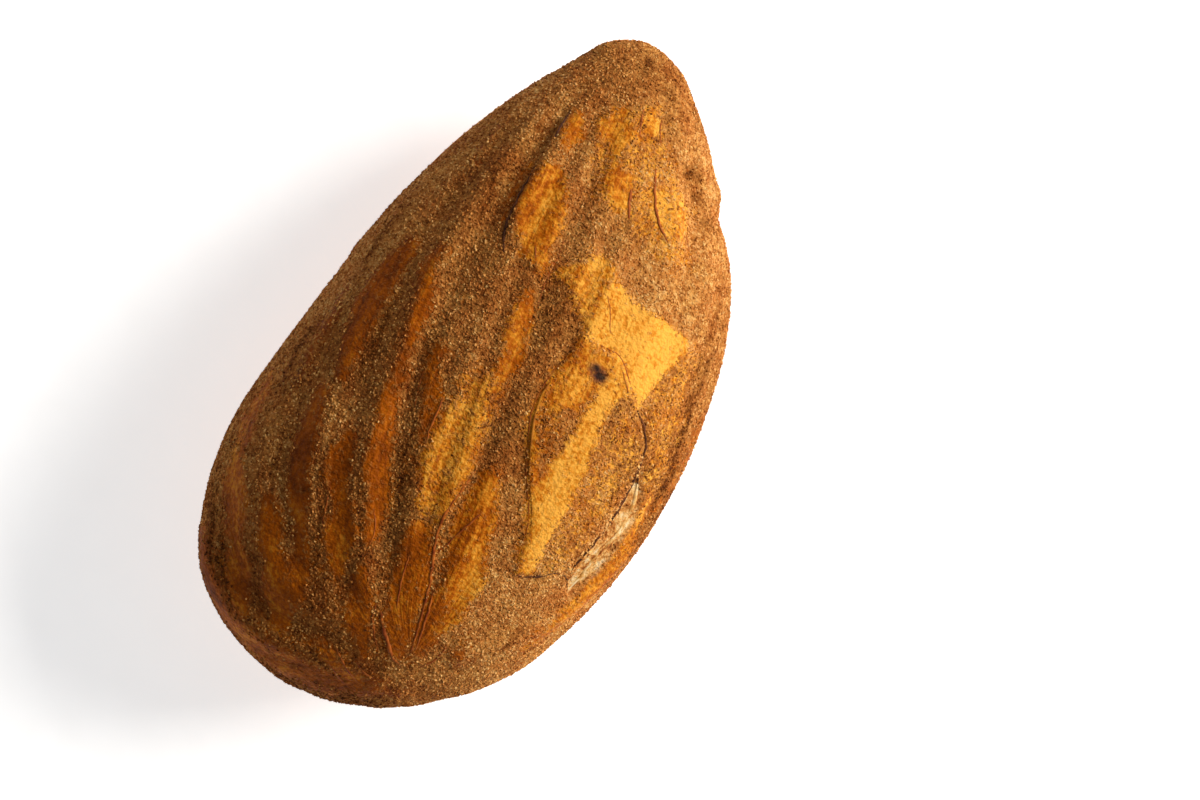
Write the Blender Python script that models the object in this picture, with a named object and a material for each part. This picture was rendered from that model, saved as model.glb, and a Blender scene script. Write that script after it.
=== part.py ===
"""A whole almond kernel in its brown seed coat, lying on its back.

The long axis runs along Y with the pointed tip at +Y, the front face looks up, and the
ground is z = 0. Sizes are in millimetres until the mesh is written, in metres.
"""

import math

import bmesh
import bpy
import numpy as np
from mathutils import Vector

MM = 0.001

# Driving dimensions
HALF_LENGTH = 11.75
SEAM_HEIGHT = 4.26  # the widest line round the kernel, above the ground
CELLS = 31  # quads along each edge of the cube that the kernel is blown up from

# The kernel's form along its length, base first. Each row is y, the middle of the width,
# and the half width, front height and back depth, all three as they would be before the
# round ends draw them in.
STATIONS = (
    (-11.75, -1.05, 8.40, 5.10, 4.90),
    (-10.0, -0.98, 8.15, 5.00, 4.85),
    (-8.0, -0.64, 7.70, 4.95, 4.75),
    (-5.0, -0.27, 7.12, 4.85, 4.50),
    (-2.0, 0.18, 6.66, 4.70, 4.38),
    (1.0, 0.36, 6.29, 4.50, 4.26),
    (4.0, 0.40, 6.06, 4.25, 4.08),
    (6.5, 0.30, 5.66, 4.02, 3.86),
    (8.0, 0.05, 5.16, 3.88, 3.65),
    (10.0, -0.16, 4.70, 3.70, 3.45),
    (11.75, -0.55, 4.20, 3.50, 3.30),
)
FRONT_SQUARENESS = 2.12  # superellipse exponents of the cross-section
BACK_SQUARENESS = 2.25
CROWN_SHIFT = 0.55  # how far the front's crest leans towards +X

# The veins spread from the scar at the broad end and meet again at the tip.
VEIN_SCAR = Vector((1.9, -9.6, 7.2))
VEIN_TIP = Vector((-0.5, 12.2, 4.3))
VEIN_WAVES = ((9, 0.05, 0.4), (16, 0.08, 2.1), (25, 0.07, 4.0))  # count, rise, phase
FINEST_RIB = 0.6  # ribs that have drawn closer together than this die out
RIM_RIBS = 0.25  # what is left of the ribs where they cross the rim
RIM_CALM = (0.5, 2.6)  # and how far above or below it they are low, then full again

# Marks on the front face, as x and y seen from above
FLAKE_OUTLINE = (
    (3.0, 2.5), (3.6, 2.1), (4.1, 1.5), (4.8, 0.85), (5.3, 0.2), (5.42, -0.6),
    (5.4, -1.6), (5.3, -2.6), (5.1, -3.6), (4.8, -4.4), (4.2, -4.95), (3.5, -5.2),
    (3.3, -4.3), (3.0, -3.1), (2.5, -2.2), (1.95, -1.1), (1.55, -0.1), (1.6, 0.8),
    (2.1, 1.5), (2.6, 2.0),
)
FLAKE_RISE = 0.13
FLAKE_BEVEL = 0.45
TEAR_OUTLINE = (
    (5.45, -0.5), (5.85, -1.0), (6.02, -1.9), (5.98, -2.8), (5.8, -3.8), (5.4, -4.95),
    (5.2, -4.6), (5.4, -3.6), (5.5, -2.6), (5.5, -1.4),
)
TEAR_DEPTH = 0.24
TEAR_BEVEL = 0.40
FOLD_LINE = ((-1.8, 8.6), (-1.85, 7.4), (-1.9, 6.2), (-1.85, 4.8), (-1.55, 3.6))
FOLD_STEP = 0.12
FOLD_REACH = 0.8

# Features of the rim, each an (x, y, z) centre, a radius and a height
KNOBS = (
    ((3.55, 8.55, 4.6), 0.75, 0.16),  # lip beside the scar where the seed hung
    ((2.80, 8.45, 6.6), 0.85, -0.24),  # the pit of that scar
    ((4.00, 7.75, 4.6), 0.60, -0.10),
    ((-6.05, 1.75, 4.4), 0.80, 0.09),  # a swelling that ends in a small step
    ((-1.85, 11.05, 4.6), 0.70, 0.10),  # shoulders of the blunt tip
    ((0.80, 11.20, 4.6), 0.80, 0.07),
)
RIM_GROOVES = ((0.16, 0.05, 0.10), (0.36, 0.05, 0.08), (-0.20, 0.06, 0.09))
RIM_ENDS = (-8.5, 7.0)

# Where it rests
REST_CENTRE = (0.1, -1.2)
REST_REACH = (2.6, 4.2)


def smoothstep(low, high, value):
    t = np.clip((value - low) / (high - low), 0.0, 1.0)
    return t * t * (3.0 - 2.0 * t)


def station_value(column, y):
    """A column of STATIONS at y, on a smooth curve through the rows."""
    knots = np.array([row[0] for row in STATIONS])
    values = np.array([row[column] for row in STATIONS])
    slopes = np.gradient(values, knots)
    i = np.clip(np.searchsorted(knots, y) - 1, 0, len(knots) - 2)
    gap = knots[i + 1] - knots[i]
    t = (y - knots[i]) / gap
    start = (1 + 2 * t) * (1 - t) ** 2 * values[i] + t * (1 - t) ** 2 * gap * slopes[i]
    end = t * t * (3 - 2 * t) * values[i + 1] - t * t * (1 - t) * gap * slopes[i + 1]
    return start + end


def kernel_points(directions):
    """The smooth kernel's surface in each of these unit directions, in millimetres."""
    along = directions[:, 1]
    y = HALF_LENGTH * along
    ring = np.sqrt(np.clip(1.0 - along**2, 0.0, 1.0))
    angle = np.arctan2(directions[:, 2], directions[:, 0])
    front = directions[:, 2] >= 0.0
    width = station_value(2, y)
    height = np.where(front, station_value(3, y), station_value(4, y))
    power = np.where(front, FRONT_SQUARENESS, BACK_SQUARENESS)
    across = np.abs(np.cos(angle) / width) ** power
    upward = np.abs(np.sin(angle) / height) ** power
    reach = ring * (across + upward) ** (-1.0 / power)
    lean = CROWN_SHIFT * ring * np.clip(np.sin(angle), 0.0, 1.0) ** 2
    x = station_value(1, y) + reach * np.cos(angle) + lean
    z = SEAM_HEIGHT + reach * np.sin(angle)
    return np.stack([x, y, z], axis=1)


def distance_to_line(points, line, closed=False):
    """From each point to a line of (x, y) corners, seen from above."""
    corners = np.array(line)
    ends = np.roll(corners, -1, axis=0)
    if not closed:
        corners, ends = corners[:-1], ends[:-1]
    nearest = np.full(len(points), np.inf)
    for a, b in zip(corners, ends):
        t = np.clip((points - a) @ (b - a) / ((b - a) @ (b - a)), 0.0, 1.0)
        gap = np.linalg.norm(points - a - t[:, None] * (b - a), axis=1)
        nearest = np.minimum(nearest, gap)
    return nearest


def depth_inside(points, outline):
    """How far each point lies inside a closed outline, and below 0 outside it."""
    corners = np.array(outline)
    inside = np.zeros(len(points), bool)
    for a, b in zip(corners, np.roll(corners, -1, axis=0)):
        crosses = (a[1] > points[:, 1]) != (b[1] > points[:, 1])
        rise = b[1] - a[1] if b[1] != a[1] else 1.0
        inside ^= crosses & (
            points[:, 0] < a[0] + (points[:, 1] - a[1]) * (b[0] - a[0]) / rise
        )
    gap = distance_to_line(points, outline, closed=True)
    return np.where(inside, gap, -gap)


def vein_polar(points):
    """Each point's angle round the chord from the scar to the tip, and its distance from
    it. A line of one angle runs over the surface from one to the other, as a vein does."""
    chord = np.array(VEIN_TIP - VEIN_SCAR)
    chord /= np.linalg.norm(chord)
    sideways = np.cross(chord, (0.0, 0.0, 1.0))
    sideways /= np.linalg.norm(sideways)
    upward = np.cross(sideways, chord)
    arm = points - np.array(VEIN_SCAR)
    return np.arctan2(arm @ upward, arm @ sideways), np.hypot(arm @ upward, arm @ sideways)


def rib_relief(points):
    """Long low ribs along the veins, which swell and fade on the way."""
    angle, reach = vein_polar(points)
    height = np.zeros(len(points))
    for count, rise, phase in VEIN_WAVES:
        swell = 0.65 + 0.35 * np.sin(0.45 * points[:, 1] + 2.0 * phase + 3.0 * angle)
        bend = 0.10 * np.sin(0.55 * points[:, 1] + phase)
        spacing = math.tau * reach / count
        there = smoothstep(FINEST_RIB, 2.0 * FINEST_RIB, spacing)
        height += rise * swell * there * np.cos(count * angle + bend + phase)
    away = smoothstep(*RIM_CALM, np.abs(points[:, 2] - SEAM_HEIGHT))
    return height * (RIM_RIBS + (1.0 - RIM_RIBS) * away)


def front_relief(points):
    """The loose flake, the tear beside it and the fold, all on the front face."""
    plan = points[:, :2]
    flake = smoothstep(-FLAKE_BEVEL / 2, FLAKE_BEVEL / 2, depth_inside(plan, FLAKE_OUTLINE))
    tear = smoothstep(-TEAR_BEVEL / 2, TEAR_BEVEL / 2, depth_inside(plan, TEAR_OUTLINE))
    fold_x = np.interp(
        plan[:, 1], [p[1] for p in FOLD_LINE[::-1]], [p[0] for p in FOLD_LINE[::-1]]
    )
    side = plan[:, 0] - fold_x
    ends = smoothstep(3.6, 4.6, plan[:, 1]) * (1.0 - smoothstep(7.6, 8.8, plan[:, 1]))
    fold = np.where(side > 0.0, 1.0 - smoothstep(0.0, FOLD_REACH, side), 0.0)
    fold *= smoothstep(-0.15, 0.25, side)
    relief = FLAKE_RISE * flake * (1.0 - tear) - TEAR_DEPTH * tear + FOLD_STEP * fold * ends
    return relief * smoothstep(SEAM_HEIGHT, SEAM_HEIGHT + 1.0, points[:, 2])


def rim_relief(points):
    """Knobs and pits near the rim, and the fine grooves that follow its right side."""
    height = np.zeros(len(points))
    for centre, radius, rise in KNOBS:
        gap = np.linalg.norm(points - np.array(centre), axis=1) / radius
        height += rise * np.exp(-2.0 * gap**2)
    middle = station_value(1, points[:, 1])
    angle = np.arctan2(points[:, 2] - SEAM_HEIGHT, points[:, 0] - middle)
    ends = smoothstep(RIM_ENDS[0], RIM_ENDS[0] + 2.0, points[:, 1]) * (
        1.0 - smoothstep(RIM_ENDS[1] - 2.0, RIM_ENDS[1], points[:, 1])
    )
    for at, spread, depth in RIM_GROOVES:
        height -= depth * ends * np.exp(-(((angle - at) / spread) ** 2))
    return height


def rest_fade(points):
    """0 on the calm skin at the resting spot, 1 away from it."""
    x = (points[:, 0] - REST_CENTRE[0]) / REST_REACH[0]
    y = (points[:, 1] - REST_CENTRE[1]) / REST_REACH[1]
    below = points[:, 2] < SEAM_HEIGHT
    return np.where(below, smoothstep(0.6, 1.5, np.hypot(x, y)), 1.0)


def blown_up_cube():
    """A cube of even quads, pushed out to a unit sphere with its cells kept alike."""
    shell = bmesh.new()
    bmesh.ops.create_cube(shell, size=2.0)
    bmesh.ops.subdivide_edges(
        shell, edges=shell.edges[:], cuts=CELLS - 1, use_grid_fill=True
    )
    for vert in shell.verts:
        vert.co = Vector(math.tan(c * math.pi / 4) for c in vert.co).normalized()
    return shell


def make_kernel(name, material):
    shell = blown_up_cube()
    directions = np.array([vert.co for vert in shell.verts])
    smooth = kernel_points(directions)
    for vert, place in zip(shell.verts, smooth):
        vert.co = place
    shell.normal_update()
    normals = np.array([vert.normal for vert in shell.verts])
    relief = rib_relief(smooth) + front_relief(smooth) + rim_relief(smooth)
    raised = smooth + normals * (relief * rest_fade(smooth))[:, None]
    raised[:, 2] = np.maximum(raised[:, 2], 0.0)
    for vert, place in zip(shell.verts, raised):
        vert.co = place * MM
    mesh = bpy.data.meshes.new(name)
    shell.to_mesh(mesh)
    shell.free()
    mesh.shade_smooth()
    kernel = bpy.data.objects.new(name, mesh)
    kernel.data.materials.append(material)
    bpy.context.scene.collection.objects.link(kernel)
    return kernel


def seed_coat_material():
    """Dry brown skin: matt, between cinnamon and amber."""
    coat = bpy.data.materials.new("seed_coat")
    coat.use_nodes = True
    surface = coat.node_tree.nodes["Principled BSDF"]
    surface.inputs["Base Color"].default_value = (0.30, 0.125, 0.032, 1.0)
    surface.inputs["Roughness"].default_value = 0.62
    surface.inputs["Metallic"].default_value = 0.0
    coat.diffuse_color = (0.30, 0.125, 0.032, 1.0)
    return coat


def main():
    for leftover in list(bpy.data.objects):
        bpy.data.objects.remove(leftover)
    make_kernel("almond_kernel", seed_coat_material())


main()
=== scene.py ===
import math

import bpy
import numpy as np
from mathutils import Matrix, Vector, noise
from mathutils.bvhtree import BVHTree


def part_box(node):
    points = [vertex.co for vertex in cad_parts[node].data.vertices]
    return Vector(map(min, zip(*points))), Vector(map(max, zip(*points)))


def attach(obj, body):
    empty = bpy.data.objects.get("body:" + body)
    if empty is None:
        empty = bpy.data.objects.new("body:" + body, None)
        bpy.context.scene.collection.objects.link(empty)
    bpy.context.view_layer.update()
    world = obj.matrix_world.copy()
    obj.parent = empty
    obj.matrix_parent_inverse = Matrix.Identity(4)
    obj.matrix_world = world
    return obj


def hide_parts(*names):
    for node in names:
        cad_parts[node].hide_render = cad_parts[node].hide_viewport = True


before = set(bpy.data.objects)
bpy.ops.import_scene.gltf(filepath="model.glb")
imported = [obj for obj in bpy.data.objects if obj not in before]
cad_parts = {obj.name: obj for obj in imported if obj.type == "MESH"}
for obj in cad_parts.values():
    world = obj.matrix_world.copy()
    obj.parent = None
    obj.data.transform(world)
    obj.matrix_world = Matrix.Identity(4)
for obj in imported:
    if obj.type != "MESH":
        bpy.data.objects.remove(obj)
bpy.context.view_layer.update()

# %% [markdown]
# # An almond kernel on a white table
#
# A shelled almond looks plain until it fills the picture. Then its skin turns out to be
# two finishes at once. A dry brown scurf, as coarse as fine sand, covers most of it, and
# where the ribs have been rubbed bare a smooth amber membrane shines through. This script
# dresses one plain kernel with both, mark by mark.
#
# The frame is loaded first. It holds the kernel's plain solid, in metres, lying on its
# back with the pointed tip towards +Y. Lengths below are in millimetres, because that is
# how a nut is measured, and they turn to metres where a mesh or a lamp is made.

MM = 0.001
NODE = "almond_kernel"
node_low, node_high = (np.array(corner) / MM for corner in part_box(NODE))
print("the plain kernel measures", (node_high - node_low).round(2), "mm")

# %% [markdown]
# ## Looking straight down
#
# The kernel lies flat, so the camera hangs over it and is rolled until the tip points up
# and to the right. A long lens keeps the outline true: a short one would show the near
# front face larger than the rim. The place that the camera looks at is a little to the
# right of the kernel, which leaves the free space where the picture wants it.

# %% Camera
PICTURE_WIDTH = 38.49  # how much of the table the frame spans, at the height of the rim
ROLL = math.radians(28.0)  # from the tip's direction to the picture's upright
AIM = (3.332, 0.928)
RIM_HEIGHT = 4.26
LENS = 150.0

camera_data = bpy.data.cameras.new("camera")
camera_data.lens = LENS
camera_data.clip_start = 0.01
camera_data.clip_end = 10.0
camera_height = PICTURE_WIDTH * LENS / camera_data.sensor_width
camera = bpy.data.objects.new("camera", camera_data)
camera.location = Vector((*AIM, RIM_HEIGHT + camera_height)) * MM
camera.rotation_euler = (0.0, 0.0, ROLL)
bpy.context.scene.collection.objects.link(camera)
bpy.context.scene.camera = camera
print("the camera hangs", round(camera_height), "mm above the rim")

# %% [markdown]
# ## Colours and nodes
#
# Colours are picked as they look on a screen, as sRGB hex values, but a renderer counts
# light, so they are turned to linear numbers once, in one place. Node trees are easier to
# read as code when every node is made the same way: its kind, what goes in, and its
# settings. An input that is given a socket is linked to it, one that is given a node is
# linked to that node's first output, and any other is a value.

# %% Helpers for materials and trees
def srgb(code):
    """A hex colour such as C08040 as linear red, green, blue and alpha."""
    parts = [int(code[i : i + 2], 16) / 255 for i in (0, 2, 4)]
    linear = [p / 12.92 if p <= 0.04045 else ((p + 0.055) / 1.055) ** 2.4 for p in parts]
    return (*linear, 1.0)


def feed(node, inputs):
    for key, value in inputs.items():
        if isinstance(value, bpy.types.Node):
            value = value.outputs[0]
        if isinstance(value, bpy.types.NodeSocket):
            node.id_data.links.new(value, node.inputs[key])
        else:
            node.inputs[key].default_value = value


def add(tree, kind, inputs, stops=(), **settings):
    """A new node with its inputs, its settings and, on a colour ramp, its stops."""
    node = tree.nodes.new(kind)
    for name, value in settings.items():
        setattr(node, name, value)
    feed(node, inputs)
    for i, (place, colour) in enumerate(stops):
        ramp = node.color_ramp.elements
        element = ramp[i] if i < len(ramp) else ramp.new(place)
        element.position = place
        element.color = srgb(colour)
    return node


def new_material(name):
    """A named material, its tree and its Principled shader."""
    material = bpy.data.materials.new(name)
    material.use_nodes = True
    return material, material.node_tree, material.node_tree.nodes["Principled BSDF"]


def link_object(name, data):
    made = bpy.data.objects.new(name, data)
    bpy.context.scene.collection.objects.link(made)
    return made


# %% [markdown]
# ## The table and the light
#
# White card under soft light is the plainest studio there is. One broad lamp stands to
# the right, as wide as a window, so the ribs and grains throw short soft shadows to the
# left. The white surroundings fill those shadows, and the card glows a little itself,
# which keeps it white where the lamplight falls off. Card is pressed paper, and that
# gives the eye a matt sheet with faint flecks. They are drawn a millimetre wide, because
# real paper fibres would not show.

# %% Card, lamp and surroundings
FLOOR_SIZE = 1200.0
FLECKS_PER_METRE = 900.0
CARD_RAMP = ((0.3, "F4F3F2"), (0.7, "FAFAFA"))
KEY_DISTANCE = 420.0
KEY_SIZE = 190.0
RIGHT = Vector((math.cos(ROLL), math.sin(ROLL), 0.0))  # the picture's right, on the table
UP = Vector((-math.sin(ROLL), math.cos(ROLL), 0.0))  # the picture's upright
KEY_TOWARDS = (RIGHT * 0.88 + UP * 0.24 + Vector((0.0, 0.0, 0.52))).normalized()

card, card_tree, card_shader = new_material("white_card")
card_place = add(card_tree, "ShaderNodeTexCoord", {}).outputs["Object"]
flecks = add(card_tree, "ShaderNodeTexNoise", {"Vector": card_place, "Scale": FLECKS_PER_METRE})
feed(
    card_shader,
    {
        "Base Color": add(card_tree, "ShaderNodeValToRGB", {"Fac": flecks}, CARD_RAMP),
        "Roughness": 0.9,
        "Specular IOR Level": 0.2,
        "Emission Color": srgb("FFFFFF"),
        "Emission Strength": 0.66,
    },
)

half = FLOOR_SIZE / 2 * MM
floor_mesh = bpy.data.meshes.new("floor")
floor_mesh.from_pydata(
    [(-half, -half, 0.0), (half, -half, 0.0), (half, half, 0.0), (-half, half, 0.0)],
    [],
    [(0, 1, 2, 3)],
)
floor_mesh.materials.append(card)
floor = link_object("floor", floor_mesh)

key_light = bpy.data.lights.new("key", "AREA")
key_light.size = KEY_SIZE * MM
key_light.energy = 2.35
key_light.color = srgb("FFFBF4")[:3]
key = link_object("key", key_light)
key.location = KEY_TOWARDS * KEY_DISTANCE * MM
key.rotation_euler = KEY_TOWARDS.to_track_quat("Z", "Y").to_euler()

world = bpy.data.worlds.new("surroundings")
world.use_nodes = True
feed(world.node_tree.nodes["Background"], {"Color": srgb("F6F8FC"), "Strength": 0.14})
bpy.context.scene.world = world
bpy.context.scene.view_settings.view_transform = "Standard"
print("three light sources: the key, the glowing card and the surroundings")

# %% [markdown]
# ## The form of the kernel
#
# An almond is close to an egg that has been pressed flat and pulled to a point at one end.
# It could be sculpted, but a short table does it better: at eleven places along the length
# it says where the middle lies, how wide the kernel is, and how far it bulges to the front
# and the back. A smooth curve runs through the rows. The surface starts as a sphere of
# directions, and every direction is pushed out as far as the table says.

# %% Lengthwise table and cross-section
HALF_LENGTH = 11.75
# y, middle of the width, half width, front height and back depth
STATIONS = (
    (-11.75, -1.05, 8.40, 5.10, 4.90),
    (-10.0, -0.98, 8.15, 5.00, 4.85),
    (-8.0, -0.64, 7.70, 4.95, 4.75),
    (-5.0, -0.27, 7.12, 4.85, 4.50),
    (-2.0, 0.18, 6.66, 4.70, 4.38),
    (1.0, 0.36, 6.29, 4.50, 4.26),
    (4.0, 0.40, 6.06, 4.25, 4.08),
    (6.5, 0.30, 5.66, 4.02, 3.86),
    (8.0, 0.05, 5.16, 3.88, 3.65),
    (10.0, -0.16, 4.70, 3.70, 3.45),
    (11.75, -0.55, 4.20, 3.50, 3.30),
)
FRONT_SQUARENESS = 2.12  # 2 is an ellipse, and more is squarer
BACK_SQUARENESS = 2.25
CROWN_SHIFT = 0.55  # mm that the front's highest line leans to the right


def smoothstep(low, high, value):
    t = np.clip((value - low) / (high - low), 0.0, 1.0)
    return t * t * (3.0 - 2.0 * t)


def between(rise_start, rise_end, fall_start, fall_end, value):
    """1 inside a range, fading to 0 at either end of it."""
    return smoothstep(rise_start, rise_end, value) * (1.0 - smoothstep(fall_start, fall_end, value))


def smooth_through(knots, values, at):
    """A smooth curve through values that are given at knots, read at other places."""
    slopes = np.gradient(values, knots, axis=0)
    i = np.clip(np.searchsorted(knots, at) - 1, 0, len(knots) - 2)
    gap = knots[i + 1] - knots[i]
    t = (at - knots[i]) / gap
    if values.ndim > 1:
        gap, t = gap[:, None], t[:, None]
    start = (1 + 2 * t) * (1 - t) ** 2 * values[i] + t * (1 - t) ** 2 * gap * slopes[i]
    end = t * t * (3 - 2 * t) * values[i + 1] - t * t * (1 - t) * gap * slopes[i + 1]
    return start + end


def station_value(column, y):
    knots = np.array([row[0] for row in STATIONS])
    return smooth_through(knots, np.array([row[column] for row in STATIONS]), y)


def kernel_points(directions):
    """The smooth kernel's surface in each of these unit directions."""
    along = directions[:, 1]
    y = HALF_LENGTH * along
    ring = np.sqrt(np.clip(1.0 - along**2, 0.0, 1.0))
    angle = np.arctan2(directions[:, 2], directions[:, 0])
    front = directions[:, 2] >= 0.0
    width = station_value(2, y)
    height = np.where(front, station_value(3, y), station_value(4, y))
    power = np.where(front, FRONT_SQUARENESS, BACK_SQUARENESS)
    across = np.abs(np.cos(angle) / width) ** power
    upward = np.abs(np.sin(angle) / height) ** power
    reach = ring * (across + upward) ** (-1.0 / power)
    lean = CROWN_SHIFT * ring * np.clip(np.sin(angle), 0.0, 1.0) ** 2
    x = station_value(1, y) + reach * np.cos(angle) + lean
    return np.stack([x, y, RIM_HEIGHT + reach * np.sin(angle)], axis=1)


# %% [markdown]
# ## A fine net without poles
#
# A sphere made of rings and segments bunches up at its two ends, just where the tip and
# the scar want detail. A box whose six faces are ruled into small squares and then blown
# up has no such poles. More squares go along the kernel than across it, so that each one
# ends up about a tenth of a millimetre wide. The six faces also give the kernel its UV
# map: each fills its own rectangle.

# %% The ruled box
CELLS = (130, 170, 90)  # squares along X, Y and Z
# For each face, -X, +X, -Y, +Y, -Z, +Z, its rectangle in the map: left, bottom, width, height
UV_RECTANGLES = (
    (0.01, 0.57, 0.55, 0.24),
    (0.75, 0.01, 0.24, 0.55),
    (0.58, 0.57, 0.20, 0.33),
    (0.79, 0.57, 0.20, 0.33),
    (0.01, 0.01, 0.36, 0.55),
    (0.375, 0.01, 0.36, 0.55),
)


def ruled_box(cells):
    """Corners from -1 to 1, quads facing outwards, and a UV for each quad's corner."""
    places, quads, uvs = [], [], []
    start = 0
    for face in range(6):
        axis, side = divmod(face, 2)
        across, up = (axis + 1) % 3, (axis + 2) % 3
        i, j = np.meshgrid(np.arange(cells[across] + 1), np.arange(cells[up] + 1), indexing="ij")
        place = np.empty((i.size, 3), int)
        place[:, axis] = side * cells[axis]
        place[:, across] = i.ravel()
        place[:, up] = j.ravel()
        index = start + np.arange(i.size).reshape(i.shape)
        ring = [index[:-1, :-1], index[1:, :-1], index[1:, 1:], index[:-1, 1:]]
        quad = np.stack(ring if side else ring[::-1], axis=-1).reshape(-1, 4)
        left, bottom, width, height = UV_RECTANGLES[face]
        u = left + width * i.ravel() / cells[across]
        v = bottom + height * j.ravel() / cells[up]
        places.append(place)
        quads.append(quad)
        uvs.append(np.stack([u, v], axis=1))
        start += i.size
    places, quads, uvs = map(np.concatenate, (places, quads, uvs))
    corners, shared = np.unique(places, axis=0, return_inverse=True)
    corners = corners / (np.array(cells) / 2.0) - 1.0
    return corners, shared.reshape(-1)[quads], uvs[quads]


corners, quads, corner_uvs = ruled_box(CELLS)
warped = np.tan(corners * math.pi / 4)
directions = warped / np.linalg.norm(warped, axis=1)[:, None]
smooth = kernel_points(directions)
print(len(corners), "corners and", len(quads), "quads")

# %% [markdown]
# ## Measuring the skin
#
# Everything painted or raised below needs to know how far each corner of the net lies from
# some line or patch. These few functions give that for all corners at once. The last one
# knows how an almond grows: its veins leave a scar on the broad end, spread over the whole
# kernel like the lines on a globe, and close up again at the tip.

# %% Distances and the flow of the veins
VEIN_SCAR = np.array((1.9, -9.6, 7.2))
VEIN_TIP = np.array((-0.5, 12.2, 4.3))
CHORD = (VEIN_TIP - VEIN_SCAR) / np.linalg.norm(VEIN_TIP - VEIN_SCAR)
CHORD_SIDE = np.cross(CHORD, (0.0, 0.0, 1.0))
CHORD_SIDE /= np.linalg.norm(CHORD_SIDE)
CHORD_UP = np.cross(CHORD_SIDE, CHORD)


def distance_to_line(points, line, closed=False):
    """From each point to a line, given as x and y by turns, and how far along it that is."""
    corners = np.reshape(line, (-1, 2))
    ends = np.roll(corners, -1, axis=0)
    if not closed:
        corners, ends = corners[:-1], ends[:-1]
    nearest = np.full(len(points), np.inf)
    place = np.zeros(len(points))
    for i, (a, b) in enumerate(zip(corners, ends)):
        t = np.clip((points - a) @ (b - a) / ((b - a) @ (b - a)), 0.0, 1.0)
        gap = np.linalg.norm(points - a - t[:, None] * (b - a), axis=1)
        place = np.where(gap < nearest, (i + t) / len(corners), place)
        nearest = np.minimum(nearest, gap)
    return nearest, place


def depth_inside(points, outline):
    """How far each point lies inside a closed outline, and below 0 outside it."""
    corners = np.reshape(outline, (-1, 2))
    inside = np.zeros(len(points), bool)
    for a, b in zip(corners, np.roll(corners, -1, axis=0)):
        crosses = (a[1] > points[:, 1]) != (b[1] > points[:, 1])
        rise = b[1] - a[1] if b[1] != a[1] else 1.0
        inside ^= crosses & (points[:, 0] < a[0] + (points[:, 1] - a[1]) * (b[0] - a[0]) / rise)
    gap, _ = distance_to_line(points, outline, closed=True)
    return np.where(inside, gap, -gap)


def vein_polar(points):
    """Each point's angle round the chord from scar to tip, and its distance from it."""
    arm = points - VEIN_SCAR
    side, up = arm @ CHORD_SIDE, arm @ CHORD_UP
    return np.arctan2(up, side), np.hypot(up, side)


def drift(points, size, seed):
    """Smooth noise from -1 to 1, with features of about this size in millimetres."""
    shift = Vector((17.3, 5.1, 9.7)) * seed
    return np.array([noise.noise(Vector(p) / size + shift) for p in points])


vein_angle, vein_reach = vein_polar(smooth)
vein_along = (smooth - VEIN_SCAR) @ CHORD
drift_coarse = drift(smooth, 2.2, 1)
drift_fine = drift(smooth, 0.7, 2)
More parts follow.
